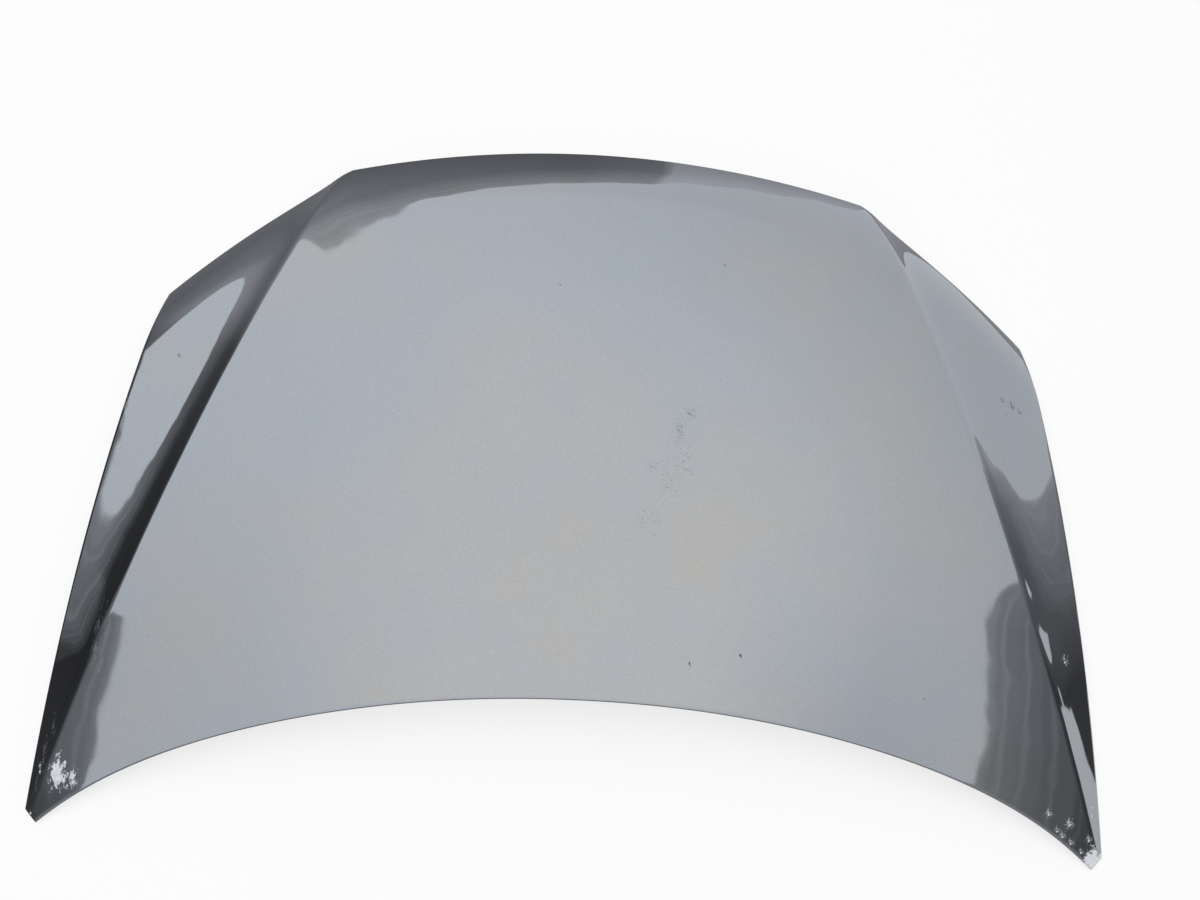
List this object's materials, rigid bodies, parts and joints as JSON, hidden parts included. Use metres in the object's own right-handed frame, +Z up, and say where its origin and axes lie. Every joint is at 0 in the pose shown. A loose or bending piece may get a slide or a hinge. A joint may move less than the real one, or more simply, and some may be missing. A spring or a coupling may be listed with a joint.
{
  "type": "car bonnet",
  "caption": "Pressed steel car bonnet with a painted outer skin, folded hem, ribbed inner frame, latch striker and rubber stops, lying outer side up.",
  "frame": {"origin": "middle of the underside of the bounding box, so that the bonnet rests on z = 0", "axes": "+X to the car's left, -Y towards the nose, +Z up out of the painted outer skin"},
  "size_m": [1.4746, 1.0156, 0.1199],
  "materials": {
    "paint": "dark metallic grey paint under a glossy clear coat, chipped and scuffed at the rear corners",
    "frame_paint": "thin satin grey paint",
    "coated_steel": "dull dip coat on steel",
    "zinc_steel": "zinc plated",
    "rubber": "matt black rubber",
    "plastic": "matt black plastic",
    "mastic": "dull grey bonding mastic"
  },
  "bodies": {
    "root": {"outer_skin": "paint", "inner_frame": "frame_paint", "latch_reinforcement": "coated_steel", "striker_base": "zinc_steel", "striker_loop": "zinc_steel", "prop_rod_bush": "plastic", "hinge_reinforcement_left": "coated_steel", "hinge_nut_left_front": "zinc_steel", "hinge_nut_left_rear": "zinc_steel", "latch_nut_left": "zinc_steel", "striker_bolt_left": "zinc_steel", "rubber_stop_left": "rubber", "hinge_reinforcement_right": "coated_steel", "hinge_nut_right_front": "zinc_steel", "hinge_nut_right_rear": "zinc_steel", "latch_nut_right": "zinc_steel", "striker_bolt_right": "zinc_steel", "rubber_stop_right": "rubber", "mastic_bead_1": "mastic", "mastic_bead_2": "mastic", "mastic_bead_3": "mastic", "mastic_bead_4": "mastic", "mastic_bead_5": "mastic", "mastic_bead_6": "mastic", "mastic_bead_7": "mastic", "mastic_bead_8": "mastic"}
  },
  "joints": []
}
